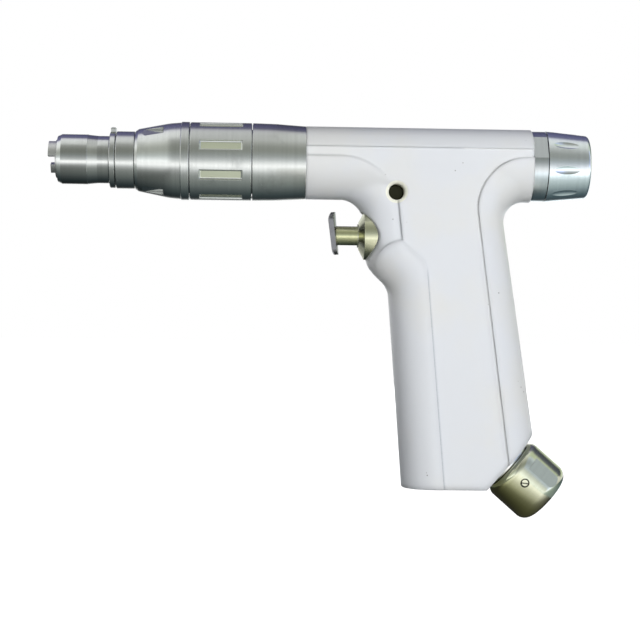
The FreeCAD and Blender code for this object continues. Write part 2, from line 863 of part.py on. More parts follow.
def handle_blank(half_thickness, edge_radius):
    """Handle slab with its front and rear edges rounded over their full depth."""
    foot = handle_bottom - 25.0
    chin_radius = edge_radius + trigger_chin_round
    front_foot = grip_top[0] + (grip_top[1] - foot) * grip_front_slope
    rear_foot = rear_throat + (under_barrel - foot) * grip_rear_slope
    slab = plate([
        (blank_front, 0), (blank_front, under_barrel),
        (front_throat, under_barrel, front_throat_radius),
        (trigger_chin[0], trigger_chin[1], chin_radius),
        (grip_top[0], grip_top[1], grip_top_radius), (front_foot, foot),
        (rear_foot, foot), (rear_throat, under_barrel, rear_throat_radius),
        (barrel_rear, under_barrel), (barrel_rear, 0),
    ], half_thickness)

    def on_rim(edge):
        box = edge.BoundBox
        flat = box.YLength < 0.01 and abs(abs(box.YMin) - half_thickness) < 0.01
        outside = box.ZMax < under_barrel + 0.1 and box.ZMin > foot - 0.1
        return flat and outside and not (box.ZLength < 0.01 and box.ZMin < handle_bottom)

    return slab.makeFillet(edge_radius, [edge for edge in slab.Edges if on_rim(edge)])


def trigger_cheek():
    """Region beside the trigger where the handle is narrower, up to the grip's dome."""
    left = blank_front - cheek_front_margin
    foot = dome_centre[1] - cheek_foot_margin
    radius = dome_radius
    low = (dome_centre[0] - radius, dome_centre[1])
    top = (dome_centre[0], dome_centre[1] + radius)
    lean = math.radians(135)
    middle = side_point(dome_centre[0] + radius * math.cos(lean), dome_centre[1] + radius * math.sin(lean))
    rear = side_point(cheek_rear_bottom, top[1])
    points = [side_point(left, cheek_top), side_point(cheek_rear_top, cheek_top), rear, side_point(*top)]
    edges = [Part.LineSegment(points[index], points[index + 1]).toShape() for index in range(3)]
    edges.append(Part.Arc(side_point(*top), middle, side_point(*low)).toShape())
    edges.append(Part.LineSegment(side_point(*low), side_point(left, foot)).toShape())
    edges.append(Part.LineSegment(side_point(left, foot), points[0]).toShape())
    wire = Part.Wire(edges)
    wire.translate(Vector(0, -2 * barrel_radius, 0))
    return Part.Face(wire).extrude(Vector(0, 4 * barrel_radius, 0))


def panel_pockets():
    """What is milled away above the flat side panels, on both sides."""
    foot = handle_bottom - 30.0
    top = panel_top_edge
    rear_corner = barrel_rear - panel_rear_corner_inset
    front_foot = panel_knee[0] + (panel_knee[1] - foot) * panel_front_slope
    rear_foot = rear_corner + (panel_rear_edge - foot) * panel_rear_slope
    outline = [
        (barrel_front - 1, top), (barrel_front - 1, panel_front_edge),
        (panel_front_corner, panel_front_edge, panel_front_radius),
        (panel_waist[0], panel_waist[1], panel_waist_radius),
        (panel_knee[0], panel_knee[1], panel_knee_radius), (front_foot, foot), (rear_foot, foot),
        (rear_corner, panel_rear_edge, panel_rear_radius),
        (barrel_rear + 1, panel_rear_edge), (barrel_rear + 1, top),
    ]
    slab = plate(outline, 2 * barrel_radius)
    middle = block((barrel_front - 2, -panel_half_thickness, foot - 1),
                   (barrel_rear + 40, panel_half_thickness, top + 1))
    return slab.cut(middle)


def channel_axis():
    """Start and direction of the wiring channel through the handle."""
    lean = math.radians(channel_lean)
    return side_point(channel_top, 0), side_point(math.sin(lean), -math.cos(lean))


def channel_meeting():
    """How far the wiring channel and the port's channel run before their axes meet."""
    start, direction = channel_axis()
    tilt = math.radians(heel_tilt)
    inward = side_point(-math.cos(tilt), math.sin(tilt))
    between = side_point(*heel_centre) - start
    across = direction.z * inward.x - direction.x * inward.z
    down = (between.z * inward.x - between.x * inward.z) / across
    back = (direction.x * between.z - direction.z * between.x) / across
    return down, abs(back)


def housing():
    """One-piece barrel and handle with sunk side panels and all bores."""
    grip = handle_blank(handle_half_thickness, handle_edge_radius)
    cheeks = handle_blank(trigger_cheek_half_thickness, trigger_cheek_edge_radius)
    region = trigger_cheek()
    handle = grip.cut(region).fuse(cheeks.common(region))
    side = 4 * barrel_radius
    lower_edge = block((0, -side, handle_bottom - side), (2 * barrel_rear, side, handle_bottom))
    heel = at_heel(block((0, -side, -side), (side, side, 2 * side)))
    handle = handle.cut([lower_edge, heel])
    rim = [edge for edge in handle.Edges if edge.BoundBox.ZMax < handle_bottom + 0.01]
    handle = handle.makeFillet(handle_foot_round, rim)
    barrel = tube(barrel_front, barrel_rear, barrel_radius, 0, barrel_edge)
    body = handle.fuse(barrel)
    body = body.cut(panel_pockets())
    return body.cut(housing_bores())


def housing_bores():
    """Every bore of the housing."""
    start, direction = channel_axis()
    seat = bushing_radius + seat_gap
    rim_depth = cross_hole_rim_radius - cross_hole_radius
    hole_centre = side_point(*cross_hole_place)
    far = Vector(0, 2 * barrel_radius, 0)
    cross_hole = Part.makeCylinder(cross_hole_radius, 4 * barrel_radius, hole_centre - far, along_y)
    rims = [
        Part.makeCone(cross_hole_radius, cross_hole_rim_radius + 1.0, rim_depth + 1.0,
                      hole_centre + Vector(0, side * (panel_half_thickness - rim_depth), 0),
                      Vector(0, side, 0))
        for side in (-1, 1)
    ]
    port = at_heel(rod(-port_depth, 1, port_radius))
    seal_seat = at_heel(rod(-port_seal_width, 1, port_seal_radius))
    channel_run, port_run = channel_meeting()
    port_channel = at_heel(rod(-port_run, 1, port_channel_radius))
    return [
        rod(barrel_front - 1, gear_tube_rear + free_gap, barrel_bore_radius),
        rod(gear_tube_rear, motor_room_front + 1, middle_bore_radius),
        rod(motor_room_front, barrel_rear + 1, barrel_bore_radius),
        rod(blank_front, bushing_rear, seat, trigger_height),
        rod(bushing_rear - 1, bushing_rear + trigger_sensor_length, spring_room_radius, trigger_height),
        rod(bushing_rear, channel_top + sensor_lead_reach, lead_circle_radius, trigger_height),
        Part.makeCylinder(channel_radius, channel_run, start, direction),
        port, seal_seat, port_channel, cross_hole,
    ] + rims


def lock_pin():
    """Round pin that slides across the handle."""
    pin = rod(0, lock_pin_length, cross_hole_radius - running_gap)
    pin = pin.makeChamfer(lock_pin_edge, [edge for edge in pin.Edges if edge.BoundBox.XLength < 0.01])
    pin.rotate(origin, Vector(0, 0, 1), 90)
    pin.translate(Vector(cross_hole_place[0], -lock_pin_near_end, cross_hole_place[1]))
    return pin


def at_trigger(shape):
    """Move a shape that was turned about the spindle axis down to the trigger axis."""
    copy = shape.copy()
    copy.translate(side_point(0, trigger_height))
    return copy


def trigger_bushing():
    """Bushing with a small front boss, a bevel and a room for the return spring."""
    guide = plunger_radius + running_gap
    bevel_front = bushing_front + bushing_boss_length
    bevel_rear = bevel_front + bushing_bevel_length
    guide_rear = bushing_front + bushing_guide_length
    seal_front_face = bushing_front + trigger_seal_place
    seal_seat = trigger_seal_radius + seat_gap
    return at_trigger(turned([
        (bushing_front, guide), (bushing_front, bushing_boss_radius), (bevel_front, bushing_boss_radius),
        (bevel_front, bushing_bevel_foot_radius), (bevel_rear, bushing_radius),
        (bushing_rear, bushing_radius), (bushing_rear, spring_room_radius),
        (guide_rear, spring_room_radius), (guide_rear, guide),
        (seal_front_face + trigger_seal_width, guide), (seal_front_face + trigger_seal_width, seal_seat),
        (seal_front_face, seal_seat), (seal_front_face, guide),
    ]))


def trigger_seal():
    """Rubber ring round the plunger."""
    front = bushing_front + trigger_seal_place
    return at_trigger(tube(front, front + trigger_seal_width, trigger_seal_radius,
                           plunger_radius + running_gap, seal_edge))


def trigger_plunger():
    """Polished rod with a thinner tail for the retaining ring."""
    guide_rear = bushing_front + bushing_guide_length
    tail_rear = guide_rear + free_gap + retainer_thickness + plunger_tail_length
    front = plate_rear - plate_thickness
    rod_and_tail = at_trigger(turned([
        (front, 0), (front, plunger_radius), (guide_rear + free_gap, plunger_radius),
        (guide_rear + free_gap, plunger_tail_radius), (tail_rear, plunger_tail_radius), (tail_rear, 0),
    ]))
    return rod_and_tail.cut(plate_curve(plate_curve_radius))


def trigger_retainer():
    """Ring that keeps the plunger in its bushing and carries the spring."""
    front = bushing_front + bushing_guide_length + free_gap
    return at_trigger(tube(front, front + retainer_thickness, spring_room_radius - free_gap,
                           plunger_tail_radius, retainer_edge))


def trigger_magnet():
    """Small magnet on the plunger's tail."""
    front = bushing_front + bushing_guide_length + free_gap + retainer_thickness + plunger_tail_length
    radius = plunger_tail_radius - trigger_magnet_inset
    return at_trigger(rod(front, front + trigger_magnet_length, radius))


def trigger_spring():
    """Return spring between the retaining ring and the sensor."""
    front = bushing_front + bushing_guide_length + free_gap + retainer_thickness
    room = bushing_rear - front
    pitch = (room - trigger_spring_wire - 2 * spring_gap) / trigger_spring_turns
    return coil(front + trigger_spring_wire / 2 + spring_gap, trigger_spring_wire, trigger_spring_radius,
                pitch, trigger_spring_turns, trigger_height)


def trigger_sensor():
    """Sealed position sensor behind the spring."""
    return at_trigger(rod(bushing_rear, bushing_rear + trigger_sensor_length - seat_gap,
                          spring_room_radius - seat_gap))


def lean_with_plate(shape):
    """Lean a shape forward with the finger plate and lift it to the plate's height."""
    copy = shape.copy()
    copy.rotate(Vector(plate_rear, 0, 0), along_y, -plate_lean)
    copy.translate(side_point(0, trigger_height + plate_rise))
    return copy


def plate_curve(radius):
    """Upright cylinder whose rear wall is one face of the finger plate."""
    height = plate_height + plate_top_width
    low = Vector(plate_rear - plate_curve_radius, 0, -height / 2)
    return lean_with_plate(Part.makeCylinder(radius, height, low))


def trigger_plate():
    """Finger plate, curved across its width, leaning forward at the top."""
    shell = plate_curve(plate_curve_radius).cut(plate_curve(plate_curve_radius - plate_thickness))
    top = plate_top_width / 2
    foot = plate_foot_width / 2
    half_height = plate_height / 2
    outline = rounded_wire([
        (-foot, -half_height, plate_corner_radius), (foot, -half_height, plate_corner_radius),
        (top, half_height, plate_corner_radius), (-top, half_height, plate_corner_radius),
    ], lambda across, up: Vector(plate_rear - plate_curve_radius, across, up))
    blank = Part.Face(outline).extrude(Vector(plate_curve_radius + 1, 0, 0))
    return shell.common(lean_with_plate(blank))


def connector_flange():
    """Thin polished flange against the heel face."""
    return at_heel(tube(0, flange_thickness, flange_radius, port_radius, flange_edge))


def connector_seal():
    """Rubber ring under the flange."""
    return at_heel(tube(-port_seal_width, 0, port_seal_radius - seat_gap, port_radius, seal_edge))


def connector_barrel():
    """Round cable socket with two spanner flats and a screwed-in spigot."""
    body = turned([
        (flange_thickness, socket_radius), (-port_depth + free_gap, socket_radius),
        (-port_depth + free_gap, port_radius - seat_gap), (flange_thickness, port_radius - seat_gap),
        (flange_thickness, connector_radius, connector_inner_round),
        (connector_length, connector_radius, connector_outer_round),
        (connector_length, socket_mouth_radius + socket_mouth_edge),
        (connector_length - socket_mouth_edge, socket_mouth_radius),
        (connector_length - socket_mouth_depth, socket_mouth_radius),
        (connector_length - socket_mouth_depth, socket_radius),
    ])
    half = connector_radius
    flat = block((spanner_flat_front, -half, spanner_flat_radius),
                 (connector_length + 1, half, connector_radius + 1))
    hole_floor = connector_radius - connector_screw_inset - connector_screw_length
    screw_hole = Part.makeCylinder(connector_screw_radius + seat_gap, connector_radius,
                                   side_point(connector_screw_place, hole_floor))
    screw_hole = turn_about_spindle(screw_hole, connector_screw_angle)
    return at_heel(body.cut(ring_of(flat, 2, spanner_flat_angle) + [screw_hole]))


def connector_screw():
    """Slotted grub screw that locks the socket."""
    head = connector_radius - connector_screw_inset
    screw = Part.makeCylinder(connector_screw_radius, connector_screw_length,
                              side_point(connector_screw_place, head - connector_screw_length))
    half = screw_slot_width / 2
    reach = connector_screw_radius + 1
    slot = block((connector_screw_place - reach, -half, head - screw_slot_depth),
                 (connector_screw_place + reach, half, head + 1))
    slot.rotate(side_point(connector_screw_place, 0), Vector(0, 0, 1), connector_screw_turn)
    return at_heel(turn_about_spindle(screw.cut(slot), connector_screw_angle))


def connector_insert():
    """Insulating disc that holds the contacts."""
    front = socket_floor - insert_thickness
    disc = tube(front, socket_floor, socket_radius - seat_gap, 0, insert_edge)
    hole = rod(front - 1, socket_floor + 1, contact_radius, contact_circle_radius)
    return at_heel(disc.cut(ring_of(hole, contact_count)))


def connector_pins():
    """Contact pins in a ring."""
    front = socket_floor - insert_thickness
    tip = front + insert_thickness + contact_length
    pin = rod(front, tip, contact_radius, contact_circle_radius)
    pin = pin.makeChamfer(contact_edge, [edge for edge in pin.Edges if edge.BoundBox.XMin > tip - 0.01])
    return at_heel(Part.makeCompound(ring_of(pin, contact_count)))


def control_module():
    """Potted motor controller in the handle's channel."""
    start, direction = channel_axis()
    return Part.makeCylinder(channel_radius - seat_gap, module_length, start + direction * module_top,
                             direction)


def motor_leads():
    """Insulated leads from the controller up to the motor."""
    start, direction = channel_axis()
    lean = math.radians(channel_lean)
    reach = lead_circle_radius + lead_radius
    first = (barrel_bore_radius + reach * math.sin(lean)) / math.cos(lean)
    leads = []
    for index in range(lead_count):
        turn = 2 * math.pi * index / lead_count
        across = Vector(0, lead_circle_radius * math.sin(turn), 0)
        beside = side_point(math.cos(lean), math.sin(lean)) * (lead_circle_radius * math.cos(turn))
        leads.append(Part.makeCylinder(lead_radius, module_top - first,
                                       start + direction * first + across + beside, direction))
    return Part.makeCompound(leads)


def sub_parts():
    """Every node with its shape."""
    shapes = {
        "housing": housing(),
        "nose_sleeve": nose_sleeve(),
        "front_seal": front_seal(),
        "spindle": spindle(),
        "release_ring": release_ring(),
        "release_spring": release_spring(),
        "front_housing": front_housing(),
        "front_bearing": bearing(front_bearing_front, front_bearing_rear,
                                 nose_spigot_radius + seat_gap, spindle_radius),
        "cone_shell": cone_shell(),
        "cone_ring": cone_ring(),
        "speed_collar": speed_collar(),
        "collar_detent": spring_plunger(index_front, collar_detent_circle_radius, 1),
        "index_sleeve": index_sleeve(),
        "index_dot": index_dot(),
        "gear_tube": gear_tube(),
        "spindle_bearing": bearing(gear_room_front, gear_room_front + spindle_bearing_width,
                                   gear_room_radius, spindle_radius),
        "ring_gear": ring_gear(),
        "sun_gear": sun_gear(),
        "planet_carrier": planet_carrier(),
        "planet_pins": planet_pins(),
        "rotor_shaft": rotor_shaft(),
        "rotor_magnet": rotor_magnet(),
        "stator_core": stator_core(),
        "stator_windings": stator_windings(),
        "motor_front_bearing": bearing(motor_bearing_front, motor_bearing_rear,
                                       motor_bearing_radius, rotor_shaft_radius),
        "motor_rear_bearing": bearing(rear_bearing_front, rotor_shaft_rear,
                                      rear_bearing_radius, rotor_shaft_radius),
        "bearing_holder": bearing_holder(),
        "rear_ring": rear_ring(),
        "rear_cap": rear_cap(),
        "cap_detent": spring_plunger(rear_ring_rear, cap_detent_circle_radius, -1),
        "lock_pin": lock_pin(),
        "trigger_plate": trigger_plate(),
        "trigger_plunger": trigger_plunger(),
        "trigger_bushing": trigger_bushing(),
        "trigger_seal": trigger_seal(),
        "trigger_retainer": trigger_retainer(),
        "trigger_magnet": trigger_magnet(),
        "trigger_spring": trigger_spring(),
        "trigger_sensor": trigger_sensor(),
        "connector_flange": connector_flange(),
        "connector_seal": connector_seal(),
        "connector_barrel": connector_barrel(),
        "connector_screw": connector_screw(),
        "connector_insert": connector_insert(),
        "connector_pins": connector_pins(),
        "control_module": control_module(),
        "motor_leads": motor_leads(),
    }
    for index in range(planet_count):
        shapes["planet_gear_%d" % (index + 1)] = planet_gear(index)
    return shapes


os.makedirs("parts", exist_ok=True)
for name, shape in sub_parts().items():
    shape.exportStep("parts/" + name + ".step")
    print(name, "solids", len(shape.Solids), "valid", shape.isValid(), "volume", round(shape.Volume, 1))
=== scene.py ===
import bpy
import json
import math
from mathutils import Matrix, Vector


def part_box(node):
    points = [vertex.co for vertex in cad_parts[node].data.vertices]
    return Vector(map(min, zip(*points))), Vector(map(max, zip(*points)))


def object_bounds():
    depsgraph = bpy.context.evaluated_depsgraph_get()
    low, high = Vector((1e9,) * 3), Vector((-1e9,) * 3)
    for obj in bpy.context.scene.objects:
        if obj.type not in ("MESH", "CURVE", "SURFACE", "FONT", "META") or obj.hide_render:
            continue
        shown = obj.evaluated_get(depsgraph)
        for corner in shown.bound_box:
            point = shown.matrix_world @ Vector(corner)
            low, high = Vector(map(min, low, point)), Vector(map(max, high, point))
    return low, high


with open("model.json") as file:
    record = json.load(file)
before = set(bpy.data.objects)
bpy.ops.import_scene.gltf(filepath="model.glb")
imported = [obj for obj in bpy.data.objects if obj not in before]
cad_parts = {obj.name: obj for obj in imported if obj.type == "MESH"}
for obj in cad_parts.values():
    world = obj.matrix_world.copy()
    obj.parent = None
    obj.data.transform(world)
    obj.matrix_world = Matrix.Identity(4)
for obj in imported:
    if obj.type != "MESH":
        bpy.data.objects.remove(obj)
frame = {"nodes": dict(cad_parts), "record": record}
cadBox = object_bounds()
nodes = frame["nodes"]
print("frame loaded,", len(nodes), "nodes")


class Value:
    # one socket of a material, so that shader maths reads as plain arithmetic
    def __init__(self, graph, socket):
        self.graph = graph
        self.socket = socket

    def calc(self, operation, *others):
        return self.graph.node("ShaderNodeMath", {"operation": operation},
                               {index: part for index, part in enumerate((self,) + others)})

    def __add__(self, other):
        return self.calc("ADD", other)

    def __radd__(self, other):
        return self.calc("ADD", other)

    def __sub__(self, other):
        return self.calc("SUBTRACT", other)

    def __rsub__(self, other):
        return self.graph.node("ShaderNodeMath", {"operation": "SUBTRACT"}, {0: other, 1: self})

    def __mul__(self, other):
        return self.calc("MULTIPLY", other)

    def __truediv__(self, other):
        return self.calc("DIVIDE", other)

    def step(self, low, high):
        # 0 below low, 1 above high, smooth between
        return self.graph.node("ShaderNodeMapRange", {"interpolation_type": "SMOOTHSTEP"},
                               {"Value": self, "From Min": low, "From Max": high})

    def between(self, rise, full, fall, gone):
        # 1 from full to fall, 0 below rise and above gone
        return self.step(rise, full) * (1 - self.step(fall, gone))


# how the materials find edges and inside corners
finding = {
    "edgeSamples": 6,
    "edgeTurn": (0.02, 0.12),           # turn of the normal at no edge and at a full one
    "creaseSamples": 8,
    "creaseOpen": (0.45, 0.92),         # open share of the surroundings in a full crease and in none
}


class Finish:
    # one procedural material
    def __init__(self, name):
        self.material = bpy.data.materials.new(name)
        self.material.use_nodes = True
        self.tree = self.material.node_tree
        self.shader = self.tree.nodes["Principled BSDF"]
        self.place = self.node("ShaderNodeTexCoord", {}, {}, "Object")

    def connect(self, socket, value):
        if isinstance(value, Value):
            self.tree.links.new(value.socket, socket)
        elif isinstance(value, (tuple, list)) and len(value) == 3 and socket.type == "RGBA":
            socket.default_value = (*value, 1)
        else:
            socket.default_value = value

    def node(self, kind, settings, inputs, output=0):
        made = self.tree.nodes.new(kind)
        for key, value in settings.items():
            if key == "stops":
                ramp = made.color_ramp.elements
                ramp.remove(ramp[1])
                ramp[0].color = (*value[0][1], 1)
                for position, colour in value[1:]:
                    ramp.new(position).color = (*colour, 1)
            else:
                setattr(made, key, value)
        usable = [socket for socket in made.inputs if socket.enabled]
        for key, value in inputs.items():
            socket = usable[key] if isinstance(key, int) else next(s for s in usable if s.name == key)
            self.connect(socket, value)
        results = [socket for socket in made.outputs if socket.enabled]
        chosen = results[output] if isinstance(output, int) else next(s for s in results if s.name == output)
        return Value(self, chosen)

    def axis(self, letter):
        return self.node("ShaderNodeSeparateXYZ", {}, {0: self.place}, letter)

    def stretch(self, x, y, z):
        return self.node("ShaderNodeVectorMath", {"operation": "MULTIPLY"}, {0: self.place, 1: (x, y, z)})

    def grain(self, scale, detail=2.0, rough=0.5, where=None):
        return self.node("ShaderNodeTexNoise", {}, {
            "Vector": where or self.place, "Scale": scale, "Detail": detail, "Roughness": rough}, "Fac")

    def rings(self, along, scale, detail):
        # grain that changes in one direction only
        return self.node("ShaderNodeTexNoise", {"noise_dimensions": "1D"},
                         {"W": along * scale, "Scale": 1.0, "Detail": detail}, "Fac")

    def cells(self, scale):
        # distance from the nearest of many scattered points
        return self.node("ShaderNodeTexVoronoi", {}, {"Vector": self.place, "Scale": scale}, "Distance")

    def blend(self, amount, first, second, kind="MIX"):
        return self.node("ShaderNodeMix", {"data_type": "RGBA", "blend_type": kind},
                         {"Factor": amount, "A": first, "B": second})

    def ramp(self, value, stops):
        # colour that follows a value, the first and last stop at its ends
        low, high = stops[0][0], stops[-1][0]
        shares = [((at - low) / (high - low), colour) for at, colour in stops]
        return self.node("ShaderNodeValToRGB", {"stops": shares},
                         {"Fac": (value - low) / (high - low)}, "Color")

    def toward(self, direction):
        # place along a direction
        return self.node("ShaderNodeVectorMath", {"operation": "DOT_PRODUCT"},
                         {0: self.place, 1: direction}, "Value")

    def edges(self, soft):
        # 1 where the softened normal leaves the surface's own, on edges
        normal = self.node("ShaderNodeNewGeometry", {}, {}, "Normal")
        along = self.node("ShaderNodeVectorMath", {"operation": "DOT_PRODUCT"}, {0: normal, 1: soft}, "Value")
        return (1 - along).step(*finding["edgeTurn"])

    def creases(self, reach):
        # 1 in an inside corner, 0 on open surface
        bare = self.node("ShaderNodeAmbientOcclusion",
                         {"samples": finding["creaseSamples"], "only_local": True}, {"Distance": reach}, "AO")
        return 1 - bare.step(*finding["creaseOpen"])

    def soft(self, radius):
        # normal that runs smoothly over edges
        return self.node("ShaderNodeBevel", {"samples": finding["edgeSamples"]}, {"Radius": radius}, "Normal")

    def length(self, vector):
        return self.node("ShaderNodeVectorMath", {"operation": "LENGTH"}, {0: vector}, "Value")

    def apart(self, point, across=1):
        # distance from a point, or with across = 0 from a line across the object
        return self.length(self.node("ShaderNodeVectorMath", {"operation": "SUBTRACT"}, {
            0: self.stretch(1, across, 1), 1: (point[0], point[1] * across, point[2])}))

    def facing(self, direction):
        # 1 where the surface looks along a direction, both in the object's own frame
        normal = self.node("ShaderNodeNewGeometry", {}, {}, "Normal")
        spaces = {"vector_type": "NORMAL", "convert_from": "WORLD", "convert_to": "OBJECT"}
        own = self.node("ShaderNodeVectorTransform", spaces, {0: normal})
        unit = self.node("ShaderNodeVectorMath", {"operation": "NORMALIZE"}, {0: own})
        straight = self.node("ShaderNodeVectorMath", {"operation": "NORMALIZE"}, {0: direction})
        return self.node("ShaderNodeVectorMath", {"operation": "DOT_PRODUCT"},
                         {0: unit, 1: straight}, "Value")

    def bump(self, height, strength, distance, before=None):
        inputs = {"Strength": strength, "Distance": distance, "Height": height}
        if before:
            inputs["Normal"] = before
        return self.node("ShaderNodeBump", {}, inputs)

    def finish(self, **sockets):
        for key, value in sockets.items():
            self.connect(self.shader.inputs[socketNames[key]], value)
        return self.material


socketNames = {
    "colour": "Base Color", "rough": "Roughness", "metal": "Metallic", "normal": "Normal",
    "coat": "Coat Weight", "coatRough": "Coat Roughness", "specular": "Specular IOR Level",
    "glow": "Emission Color", "glowStrength": "Emission Strength",
}


# the camera stands where the photograph's did, level with the middle of the picture
view = {
    "centre": (0.1154, 0.0, -0.0690),
    "distance": 0.765,
    "yaw": 2.0,                     # degrees, seen a little from the nose end
    "roll": 0.75,                   # degrees, the rear end hangs lower in the picture
    "scale": 0.00044,               # metres to one pixel on the middle plane
    "pixels": 640,
    "sensor": 36,
    "nearest": 0.01,
}


def makeCamera():
    data = bpy.data.cameras.new("camera")
    camera = bpy.data.objects.new("camera", data)
    bpy.context.scene.collection.objects.link(camera)
    yaw = math.radians(view["yaw"])
    away = Vector((-math.sin(yaw), -math.cos(yaw), 0)) * view["distance"]
    camera.location = Vector(view["centre"]) + away
    turn = (-away).to_track_quat("-Z", "Y").to_matrix().to_4x4()
    camera.matrix_world = Matrix.Translation(camera.location) @ turn @ Matrix.Rotation(
        math.radians(view["roll"]), 4, "Z")
    data.sensor_width = view["sensor"]
    data.lens = view["sensor"] * view["distance"] / (view["scale"] * view["pixels"])
    data.clip_start = view["nearest"]
    bpy.context.scene.camera = camera


makeCamera()
print("camera placed")

# soft studio light, and cards that only steel mirrors, in metres
studio = {
    "world": 0.17,                      # light from all round
    "floorGap": 0.0004,                 # between the connector's lowest point and the floor
    "floorReach": 6.0,
    "floorColour": (0.55, 0.55, 0.55),
    "floorRough": 0.95,
    "floorGlow": 0.95,                  # where the floor is seen directly
    "aim": (0.12, 0, -0.04),            # what both lamps look at
    "front": {"place": (0.50, -1.38, 0.04), "size": (0.9, 0.9), "power": 22.5},
    "back": {"place": (-0.25, 1.35, 0.30), "size": (1.2, 0.8), "power": 17.0},
    "skyRadius": 0.9,
    "skySpan": (-2.0, 2.2),
    "skySteps": 24,
    # degrees round the spindle axis, counted from the camera's side upwards, and half the glow there
    "skyCard": (
        (-9, (0.68, 0.70, 0.70)), (-1, (0.46, 0.48, 0.48)), (6, (0.33, 0.35, 0.35)),
        (14, (0.24, 0.26, 0.25)), (28, (0.19, 0.20, 0.18)), (42, (0.21, 0.22, 0.20)),
        (55, (0.30, 0.31, 0.29)), (66, (0.38, 0.39, 0.38)), (90, (0.43, 0.44, 0.44)),
        (101, (0.38, 0.38, 0.41)), (110, (0.09, 0.09, 0.14)), (124, (0.07, 0.07, 0.13)),
        (148, (0.04, 0.04, 0.07)), (156, (0.10, 0.10, 0.12)), (163, (0.34, 0.35, 0.35)),
        (178, (0.50, 0.51, 0.51)),
    ),
    # places along the spindle axis and half the share of a card's glow there, for its front and back part
    "plainShare": ((-0.60, (0.50, 0.50, 0.50)), (0.60, (0.50, 0.50, 0.50))),
    "skyFrontShare": (
        (-0.45, (0.76, 0.76, 0.76)), (-0.25, (0.68, 0.68, 0.68)), (-0.14, (0.36, 0.36, 0.36)),
        (-0.03, (0.33, 0.33, 0.33)), (0.02, (0.45, 0.45, 0.45)), (0.06, (0.50, 0.50, 0.50)),
        (0.60, (0.50, 0.50, 0.50)), (0.68, (0.61, 0.66, 0.88)),
    ),
    "skyBackShare": (
        (-0.50, (0.80, 0.80, 0.80)), (-0.20, (0.70, 0.70, 0.70)), (-0.05, (0.64, 0.64, 0.64)),
        (0.00, (0.50, 0.50, 0.50)), (0.02, (0.43, 0.43, 0.43)), (0.12, (0.50, 0.50, 0.50)),
        (0.14, (0.35, 0.35, 0.34)), (0.19, (0.42, 0.42, 0.40)), (0.235, (0.62, 0.63, 0.63)),
        (0.37, (0.60, 0.61, 0.61)), (0.50, (0.60, 0.61, 0.61)), (0.75, (0.45, 0.50, 0.39)),
    ),
    "groundBackShare": (
        (-0.30, (0.45, 0.45, 0.45)), (-0.10, (0.36, 0.36, 0.36)), (-0.065, (0.26, 0.26, 0.26)),
        (-0.03, (0.17, 0.17, 0.17)), (0.05, (0.41, 0.41, 0.41)), (0.12, (0.50, 0.50, 0.50)),
        (0.14, (0.20, 0.20, 0.18)), (0.19, (0.34, 0.34, 0.30)), (0.235, (0.75, 0.80, 0.83)),
        (0.37, (0.80, 0.85, 0.89)),
    ),
    "turn": (-0.50, -0.20),             # where the front part turns into the back part
    "groundSpan": (-1.5, 1.7),
    "groundRise": 0.5,                  # height in the gap over the floor
    # distance over the floor behind the spindle axis, and half the glow there
    "groundCard": (
        (-1.40, (0.60, 0.61, 0.61)), (-0.85, (0.72, 0.73, 0.73)), (-0.45, (0.88, 0.89, 0.89)),
        (-0.29, (0.68, 0.70, 0.70)), (-0.20, (0.40, 0.42, 0.41)), (-0.145, (0.26, 0.28, 0.27)),
        (-0.10, (0.21, 0.23, 0.22)), (-0.06, (0.16, 0.18, 0.17)), (-0.03, (0.125, 0.145, 0.14)),
        (0.0, (0.085, 0.10, 0.10)), (0.04, (0.05, 0.065, 0.065)), (0.085, (0.03, 0.042, 0.045)),
        (0.17, (0.018, 0.024, 0.026)), (0.30, (0.06, 0.07, 0.07)), (0.50, (0.40, 0.41, 0.41)),
        (1.40, (0.60, 0.61, 0.61)),
    ),
    # the same for a small card under the connector
    "heelSpan": (0.150, 0.230),
    "heelRise": 0.75,
    "heelCard": (
        (-0.30, (0.60, 0.60, 0.58)), (-0.14, (0.86, 0.86, 0.83)), (-0.07, (0.70, 0.70, 0.66)),
        (-0.03, (0.33, 0.33, 0.30)), (-0.018, (0.11, 0.11, 0.095)), (-0.0115, (0.062, 0.062, 0.052)),
        (-0.006, (0.035, 0.035, 0.03)), (0.0, (0.02, 0.02, 0.02)), (0.10, (0.02, 0.02, 0.02)),
    ),
}


def addObject(name, data):
    made = bpy.data.objects.new(name, data)
    bpy.context.scene.collection.objects.link(made)
    return made


def softLamp(name, setting):
    data = bpy.data.lights.new(name, "AREA")
    data.shape = "RECTANGLE"
    data.size, data.size_y = setting["size"]
    data.energy = setting["power"]
    lamp = addObject(name, data)
    lamp.location = setting["place"]
    aim = Vector(studio["aim"]) - lamp.location
    lamp.rotation_euler = aim.to_track_quat("-Z", "Y").to_euler()
    lamp.visible_glossy = False


def stageMesh(name, points, faces, material):
    mesh = bpy.data.meshes.new(name)
    mesh.from_pydata(points, [], faces)
    mesh.materials.append(material)
    made = addObject(name, mesh)
    return made


def onlyMirrored(card):
    # a card that steel mirrors, and that neither lights nor shades anything
    card.visible_camera = False
    card.visible_diffuse = False
    card.visible_shadow = False
    card.visible_transmission = False
    card.visible_volume_scatter = False


def cardMaterial(name, measure, frontShare, backShare):
    # glow that follows a measure of the place, its stops and its shares are both halved
    f = Finish(name)
    x = f.axis("X")
    share = f.blend(f.axis("Y").step(*studio["turn"]),
                    f.ramp(x, studio[frontShare]), f.ramp(x, studio[backShare]))
    glow = f.blend(1.0, f.ramp(measure(f), studio[name]), share, "MULTIPLY")
    return f.finish(colour=(0, 0, 0), specular=0.0, glow=glow, glowStrength=4.0)


def acrossFloor(f):
    return f.axis("Y")


